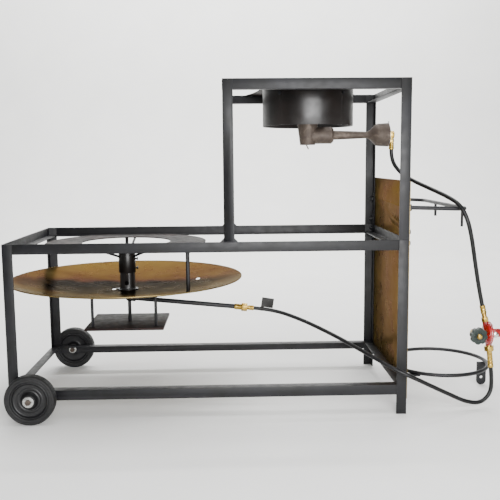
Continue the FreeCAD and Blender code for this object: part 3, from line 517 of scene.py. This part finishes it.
class StandSizes(bpy.types.PropertyGroup):
    hose_radius: bpy.props.FloatProperty(
        name="Hose radius", description="Half the gas hoses' outside diameter", default=0.0065,
        min=0.003, max=0.012, unit="LENGTH", precision=4)
    angle_width: bpy.props.FloatProperty(
        name="Angle width", description="Leg length of the angle iron", default=0.03175,
        min=0.02, max=0.05, unit="LENGTH", precision=4)
    angle_edge: bpy.props.FloatProperty(
        name="Angle edge", description="Rounding of the angle iron's edges in millimetres",
        default=0.7, min=0.1, max=1.5)
    angle_root: bpy.props.FloatProperty(
        name="Angle root", description="Fillet inside the angle iron in millimetres",
        default=1.5, min=0.5, max=3.0)
    weld_width: bpy.props.FloatProperty(
        name="Weld width", description="Width of the weld beads", default=0.0042, min=0.002,
        max=0.008, unit="LENGTH", precision=4)
    rim_radius: bpy.props.FloatProperty(
        name="Rim radius", description="Half the thickness of the dish's rolled rim",
        default=0.0021, min=0.001, max=0.004, unit="LENGTH", precision=4)


class StandStudio(bpy.types.PropertyGroup):
    lens: bpy.props.FloatProperty(
        name="Lens", description="Focal length of the camera in millimetres", default=51.09,
        min=20.0, max=200.0, subtype="DISTANCE_CAMERA")
    camera_place: bpy.props.FloatVectorProperty(
        name="Camera place", description="Where the camera stands",
        default=(-0.0731, -2.4375, 0.7978), size=3, subtype="TRANSLATION", unit="LENGTH")
    camera_down: bpy.props.FloatProperty(
        name="Camera tilt", description="How far the camera looks down", default=0.1237,
        subtype="ANGLE")
    camera_turn: bpy.props.FloatProperty(
        name="Camera turn", description="How far the camera turns to the left", default=-0.0261,
        subtype="ANGLE")
    camera_roll: bpy.props.FloatProperty(
        name="Camera roll", description="How far the camera leans", default=-0.0089,
        subtype="ANGLE")
    sky: bpy.props.FloatProperty(
        name="Surround", description="Brightness of the white surround", default=0.32, min=0.0,
        max=5.0)
    front_power: bpy.props.FloatProperty(
        name="Front light", description="Power of the light behind the camera", default=110.0,
        min=0.0, max=500.0, unit="POWER")
    top_power: bpy.props.FloatProperty(
        name="Top light", description="Power of the overhead light", default=110.0, min=0.0,
        max=900.0, unit="POWER")
    wall_power: bpy.props.FloatProperty(
        name="Wall light", description="Power of the light on the paper behind", default=420.0,
        min=0.0, max=2000.0, unit="POWER")


# ---- operators ----
class BURNERSTAND_OT_camera(bpy.types.Operator):
    """Place the camera in front of the stand."""
    bl_idname = "burnerstand.camera"
    bl_label = "Place camera"

    def execute(self, context):
        studio = context.scene.stand_studio
        data = bpy.data.cameras.new("camera")
        data.lens = studio.lens
        data.sensor_width = 36.0
        camera = bpy.data.objects.new("camera", data)
        context.scene.collection.objects.link(camera)
        camera.matrix_world = (Matrix.Translation(studio.camera_place)
                               @ Matrix.Rotation(studio.camera_turn, 4, "Z")
                               @ Matrix.Rotation(math.pi / 2 - studio.camera_down, 4, "X")
                               @ Matrix.Rotation(studio.camera_roll, 4, "Z"))
        context.scene.camera = camera
        return {"FINISHED"}


class BURNERSTAND_OT_fittings(bpy.types.Operator):
    """Finish the regulator, the brass fittings, the knob and the label."""
    bl_idname = "burnerstand.fittings"
    bl_label = "Finish fittings"

    def execute(self, context):
        for node in ("brass_union", "orifice_elbow", "inlet_pipe", "burner_nozzle"):
            finished_node(node, "brass", 0.5)
        finished_solids("brass_outlets", "brass", 0.5, ("up", "down"))
        finished_solids("hose_sleeves", "brass", 0.3,
                        ("upper_start", "upper_end", "lower_start", "lower_end"))
        finished_node("regulator_body", "red", 1.0, steps=3)
        finished_node("bonnet", "red", 0.8, steps=3)
        finished_node("diaphragm", "zinc", 0.1)
        finished_node("bonnet_screws", "zinc", 0.3)
        finished_node("adjusting_knob", "nickel", 0.5)
        finished_node("bottle_handwheel", "green", 1.2, steps=3)
        finished_node("hose_tag", "card", 0.15)
        return {"FINISHED"}


class BURNERSTAND_OT_hoses(bpy.types.Operator):
    """Hang the two gas hoses as smooth round lines."""
    bl_idname = "burnerstand.hoses"
    bl_label = "Hang hoses"

    def execute(self, context):
        radius = context.scene.stand_sizes.hose_radius
        riders = ["regulator_body_finished", "bonnet_finished", "diaphragm_finished",
                  "bonnet_screws_finished", "adjusting_knob_finished", "inlet_pipe_finished",
                  "bottle_handwheel_finished", "brass_outlets_up",
                  "hose_sleeves_upper_start", "hose_sleeves_upper_end"]
        for name, route, length, pieces in (
                ("upper_hose", UPPER_ROUTE, 0.73, riders),
                ("lower_hose", LOWER_ROUTE, 1.02,
                 ["hose_tag_finished", "brass_outlets_down", "hose_sleeves_lower_start",
                  "hose_sleeves_lower_end"])):
            curve = bpy.data.curves.new(f"{name}_rubber", "CURVE")
            curve.dimensions = "3D"
            curve.resolution_u = 16
            curve.bevel_depth = radius
            curve.bevel_resolution = 8
            curve.use_fill_caps = True
            spline = curve.splines.new("NURBS")
            spline.points.add(len(route) - 1)
            for point, place in zip(spline.points, route):
                point.co = (*place, 1.0)
            spline.order_u = 3
            spline.use_endpoint_u = True
            spline.use_smooth = True
            curve.materials.append(finish_of("hose"))
            hose = bpy.data.objects.new(f"{name}_rubber", curve)
            context.scene.collection.objects.link(hose)
            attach(hose, BODY_OF[name])
            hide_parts(name)
        return {"FINISHED"}


class BURNERSTAND_OT_angles(bpy.types.Operator):
    """Finish the angle-iron legs, posts and rails with rounded toes and a filleted root."""
    bl_idname = "burnerstand.angles"
    bl_label = "Finish angle iron"

    def execute(self, context):
        sizes = context.scene.stand_sizes
        for node in ("low_rails_long", "low_rails_short", "base_rails_long", "base_rails_short",
                     "tower_rails_long", "tower_rails_short", "legs_left", "legs_right",
                     "tower_posts_left", "tower_posts_right"):
            finished_node(node, "frame", sizes.angle_edge, sizes.angle_root)
        return {"FINISHED"}


class BURNERSTAND_OT_sheetwork(bpy.types.Operator):
    """Finish the dish, decks, tray, heat shield and wind guard."""
    bl_idname = "burnerstand.sheetwork"
    bl_label = "Finish sheet metal"

    def execute(self, context):
        for node in ("wide_dish", "heat_shield"):
            finished_node(node, "bronze", 0.3)
        for node in ("lower_deck", "drip_tray", "upper_deck"):
            finished_node(node, "dull_sheet", 0.4)
        for node in ("wind_guard", "burner_bar", "drum_tabs"):
            finished_node(node, "black_sheet", 0.4)
        rim = context.scene.stand_sizes.rim_radius
        low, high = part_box("wide_dish")
        centre = (low + high) / 2
        edge_radius = (high.x - low.x) / 2 / MM
        sides = 10
        hem = [(rim / MM * math.sin(math.tau * i / sides),
                edge_radius - rim / MM * (1 - math.cos(math.tau * i / sides)))
               for i in range(sides)]
        place = (centre.x, centre.y, high.z - rim)
        new_piece("dish_rolled_rim", turned(hem, place, (0, 0, 1), 144), "bronze", "stand",
                  crease=60)
        return {"FINISHED"}


class BURNERSTAND_OT_burners(bpy.types.Operator):
    """Finish the cast burner, its mixer tube and the lower burner's tubes."""
    bl_idname = "burnerstand.burners"
    bl_label = "Finish burners"

    def execute(self, context):
        finished_node("burner_bowl", "iron", 1.2, steps=3)
        finished_node("burner_cap", "iron", 0.6)
        finished_node("venturi", "iron", 1.2, steps=3)
        finished_node("air_shutter", "zinc", 0.3)
        finished_node("burner_tube", "black_sheet", 0.4)
        finished_node("burner_sleeve", "black_sheet", 0.5)
        return {"FINISHED"}


class BURNERSTAND_OT_bars(bpy.types.Operator):
    """Finish the pipes, rods, rack and tank ring."""
    bl_idname = "burnerstand.bars"
    bl_label = "Finish bars and pipes"

    def execute(self, context):
        for node in ("gas_pipes", "pipe_elbow", "hanger_spider", "dish_hangers", "tray_rods",
                     "bar_rack", "tank_ring"):
            finished_node(node, "frame", 0.4)
        for node in ("ring_straps", "ring_foot", "splice_plates"):
            finished_node(node, "frame", 0.6)
        return {"FINISHED"}


class BURNERSTAND_OT_fasteners(bpy.types.Operator):
    """Finish the bolts, nuts and washers."""
    bl_idname = "burnerstand.fasteners"
    bl_label = "Finish fasteners"

    def execute(self, context):
        finished_node("axle_washers", "zinc", 0.4)
        for node in ("axle_bolts", "axle_nuts"):
            finished_node(node, "iron", 0.8, steps=3)
        for node in ("splice_bolts", "end_nuts", "drum_bolts"):
            finished_node(node, "frame", 0.4)
        return {"FINISHED"}


class BURNERSTAND_OT_welds(bpy.types.Operator):
    """Run weld beads where the angle iron, rods, straps and dish meet."""
    bl_idname = "burnerstand.welds"
    bl_label = "Run welds"

    def execute(self, context):
        sizes = context.scene.stand_sizes
        width, leg = sizes.weld_width, sizes.angle_width
        legs_low, legs_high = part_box("legs_left")
        left, front, back = legs_low.x, legs_low.y, legs_high.y
        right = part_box("legs_right")[1].x
        bm = bmesh.new()
        for rails in ("low_rails_long", "base_rails_long", "tower_rails_long"):
            low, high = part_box(rails)
            for x in (left + leg, right - leg):
                if rails == "tower_rails_long" and x < 0:
                    continue
                for y in (front + 0.2 * MM, back - 0.2 * MM):
                    bead(bm, (x, y, low.z + 3 * MM), (x, y, high.z - 2 * MM), width * 0.7)
        tower_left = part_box("tower_rails_short")[0].x
        for rails, ends in (("low_rails_short", (left, right)),
                            ("base_rails_short", (left, right)),
                            ("tower_rails_short", (tower_left, right))):
            low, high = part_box(rails)
            for x in ends:
                for y in (front + leg, back - leg):
                    inset = 0.2 * MM if x != right else -0.2 * MM
                    bead(bm, (x + inset, y, low.z + 3 * MM), (x + inset, y, high.z - 2 * MM),
                         width * 0.6)
        top = legs_high.z
        for y in (front + 0.4 * MM, back - 0.4 * MM):
            bead(bm, (tower_left, y, top), (tower_left + leg, y, top), width * 0.8)
            bead(bm, (right - leg, y, top), (right - 1 * MM, y, top), width * 0.6)
        low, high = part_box("dish_hangers")
        dish_low, dish_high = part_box("wide_dish")
        middle = (dish_low + dish_high) / 2
        rail_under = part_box("low_rails_long")[0].z - 0.5 * MM
        for x, y in ((high.x - 6 * MM, low.y + 6 * MM), (low.x + 6 * MM, high.y - 6 * MM)):
            share = (math.hypot(x - middle.x, y - middle.y) - DISH_FLAT) / DISH_RUN
            dish_top = dish_low.z + DISH_SKIN + DISH_RISE * share ** 2
            ring_bead(bm, (x, y, dish_top), HANGER_TOP_BEAD, width)
            ring_bead(bm, (x, y, rail_under), HANGER_RAIL_BEAD, width)
        low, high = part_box("tray_rods")
        tray_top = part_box("drip_tray")[1].z
        for x in (low.x + 5 * MM, high.x - 5 * MM):
            ring_bead(bm, (x, low.y + 5 * MM, tray_top + 0.5 * MM), TRAY_ROD_BEAD, width * 0.8)
        tube_low, tube_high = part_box("burner_tube")
        centre = (tube_low + tube_high) / 2
        ring_bead(bm, (centre.x, centre.y, tube_low.z + 3.4 * MM), BURNER_TUBE_BEAD, width,
                  drops=40)
        ring_low, ring_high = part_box("tank_ring")
        strap_low, strap_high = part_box("ring_straps")
        for y in (strap_low.y + 12.5 * MM, strap_high.y - 12.5 * MM):
            for side in (-8 * MM, 8 * MM):
                bead(bm, (strap_high.x - 14 * MM, y + side, strap_high.z),
                     (strap_high.x - 4 * MM, y + side, strap_high.z), width * 0.8)
            bead(bm, (right + 2 * MM, y - 11 * MM, strap_high.z + 0.5 * MM),
                 (right + 2 * MM, y + 11 * MM, strap_high.z + 0.5 * MM), width * 0.8)
        foot_low, foot_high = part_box("ring_foot")
        for y in (foot_low.y, foot_high.y):
            bead(bm, (ring_high.x - 9 * MM, y, foot_high.z),
                 (ring_high.x - 1 * MM, y, foot_high.z), width * 0.8)
        new_piece("weld_beads", bm, "frame", "stand", crease=70)
        return {"FINISHED"}


class BURNERSTAND_OT_wheels(bpy.types.Operator):
    """Turn the tyres and dished hubs of the two wheels."""
    bl_idname = "burnerstand.wheels"
    bl_label = "Turn wheels"

    def execute(self, context):
        # distances from the wheel's inner side, then radius, in millimetres
        tyre = [(3.0, 58.3), (0.6, 60.5), (0.0, 63.5), (0.0, 66.0), (1.1, 67.2), (1.1, 70.2),
                (0.4, 71.4), (0.9, 73.6), (3.2, 76.4), (7.0, 77.7), (12.6, 78.0), (13.0, 77.1),
                (14.4, 77.1), (14.8, 78.0), (23.2, 78.0), (23.6, 77.1), (25.0, 77.1),
                (25.4, 78.0), (31.0, 77.7), (34.8, 76.4), (37.1, 73.6), (37.6, 71.4),
                (36.9, 70.2), (36.9, 67.2), (38.0, 66.0), (38.0, 63.5), (37.4, 60.5),
                (35.0, 58.3)]
        hub = [(-5.7, 5.1), (-5.7, 19.0), (-4.0, 20.0), (11.0, 24.0), (13.0, 28.0), (13.0, 49.0),
               (6.0, 52.5), (4.2, 54.0), (4.2, 58.3), (33.8, 58.3), (34.6, 56.0), (33.0, 54.0),
               (28.0, 52.0), (26.2, 49.0), (25.4, 40.0), (26.6, 38.0), (26.6, 34.0),
               (25.2, 31.0), (27.0, 27.0), (33.0, 23.0), (37.0, 21.5), (42.0, 20.5),
               (43.2, 19.0), (43.2, 5.1)]
        for name, way in (("front", (0, -1, 0)), ("rear", (0, 1, 0))):
            low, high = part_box("tyre_" + name)
            centre = (low + high) / 2
            start = (centre.x, high.y if name == "front" else low.y, centre.z)
            new_piece(f"tyre_{name}_rubber", turned(tyre, start, way, 96, 0.25), "tyre",
                      f"{name}_wheel", [f"tyre_{name}"], 40)
            new_piece(f"hub_{name}_moulding", turned(hub, start, way, 96, 0.6), "hub",
                      f"{name}_wheel", [f"hub_{name}"], 40)
        return {"FINISHED"}


class BURNERSTAND_OT_stage(bpy.types.Operator):
    """Roll out the studio paper and set the lights."""
    bl_idname = "burnerstand.stage"
    bl_label = "Set stage"

    def execute(self, context):
        studio = context.scene.stand_studio
        bm = bmesh.new()
        half, floor_end, bend, wall_top = 9.0, 3.2, 1.5, 7.0
        sweep = [(-half, 0.0), (floor_end, 0.0)]
        sweep += [(floor_end + bend * math.sin(a), bend - bend * math.cos(a))
                  for a in (math.radians(9 * i) for i in range(1, 11))]
        sweep.append((floor_end + bend, wall_top))
        points = [bm.verts.new((-half, y, z)) for y, z in sweep]
        edges = [bm.edges.new(pair) for pair in zip(points, points[1:])]
        spread = bmesh.ops.extrude_edge_only(bm, edges=edges)
        moved = [v for v in spread["geom"] if isinstance(v, bmesh.types.BMVert)]
        bmesh.ops.translate(bm, vec=(2 * half, 0, 0), verts=moved)
        bmesh.ops.recalc_face_normals(bm, faces=bm.faces)
        mesh = bpy.data.meshes.new("studio_paper")
        bm.to_mesh(mesh)
        bm.free()
        mesh.materials.append(finish_of("paper"))
        mesh.polygons.foreach_set("use_smooth", [True] * len(mesh.polygons))
        paper = bpy.data.objects.new("studio_paper", mesh)
        context.scene.collection.objects.link(paper)
        world = bpy.data.worlds.new("white surround")
        world.use_nodes = True
        backdrop = world.node_tree.nodes["Background"]
        backdrop.inputs["Color"].default_value = (1.0, 1.0, 1.0, 1.0)
        backdrop.inputs["Strength"].default_value = studio.sky
        context.scene.world = world
        for name, power, wide, high, place, target in (
                ("front light", studio.front_power, 1.7, 1.15, (0.47, -2.7, 0.88),
                 (0.47, 0, 0.88)),
                ("top light", studio.top_power, 2.4, 2.4, (0.2, -0.2, 3.4), (0.2, 0, 0)),
                ("wall light", studio.wall_power, 5.0, 0.8, (0.0, 2.2, 4.2), (0.0, 4.6, 1.6))):
            lamp = bpy.data.lights.new(name, "AREA")
            lamp.energy = power
            lamp.shape = "RECTANGLE"
            lamp.size = wide
            lamp.size_y = high
            light = bpy.data.objects.new(name, lamp)
            context.scene.collection.objects.link(light)
            aim = (Vector(target) - Vector(place)).to_track_quat("-Z", "Y")
            light.matrix_world = Matrix.Translation(Vector(place)) @ aim.to_matrix().to_4x4()
        return {"FINISHED"}


class BURNERSTAND_PT_panel(bpy.types.Panel):
    """Sizes, colours and steps of the burner stand."""
    bl_idname = "BURNERSTAND_PT_panel"
    bl_label = "Burner Stand"
    bl_space_type = "VIEW_3D"
    bl_region_type = "UI"
    bl_category = "Burner Stand"

    def draw(self, context):
        for group in (context.scene.stand_sizes, context.scene.stand_colours,
                      context.scene.stand_studio):
            box = self.layout.box()
            for key in group.__annotations__:
                box.prop(group, key)
        for step in STEPS:
            self.layout.operator(step.bl_idname)


STEPS = (BURNERSTAND_OT_camera, BURNERSTAND_OT_fittings, BURNERSTAND_OT_hoses,
         BURNERSTAND_OT_angles, BURNERSTAND_OT_sheetwork, BURNERSTAND_OT_burners,
         BURNERSTAND_OT_bars, BURNERSTAND_OT_fasteners, BURNERSTAND_OT_welds,
         BURNERSTAND_OT_wheels, BURNERSTAND_OT_stage)
CLASSES = (StandColours, StandSizes, StandStudio, *STEPS, BURNERSTAND_PT_panel)


def register():
    for item in CLASSES:
        bpy.utils.register_class(item)
    bpy.types.Scene.stand_colours = bpy.props.PointerProperty(type=StandColours)
    bpy.types.Scene.stand_sizes = bpy.props.PointerProperty(type=StandSizes)
    bpy.types.Scene.stand_studio = bpy.props.PointerProperty(type=StandStudio)


def unregister():
    del bpy.types.Scene.stand_studio
    del bpy.types.Scene.stand_sizes
    del bpy.types.Scene.stand_colours
    for item in reversed(CLASSES):
        bpy.utils.unregister_class(item)


def main():
    register()
    for step in STEPS:
        family, action = step.bl_idname.split(".")
        getattr(getattr(bpy.ops, family), action)()


if __name__ == "__main__":
    main()
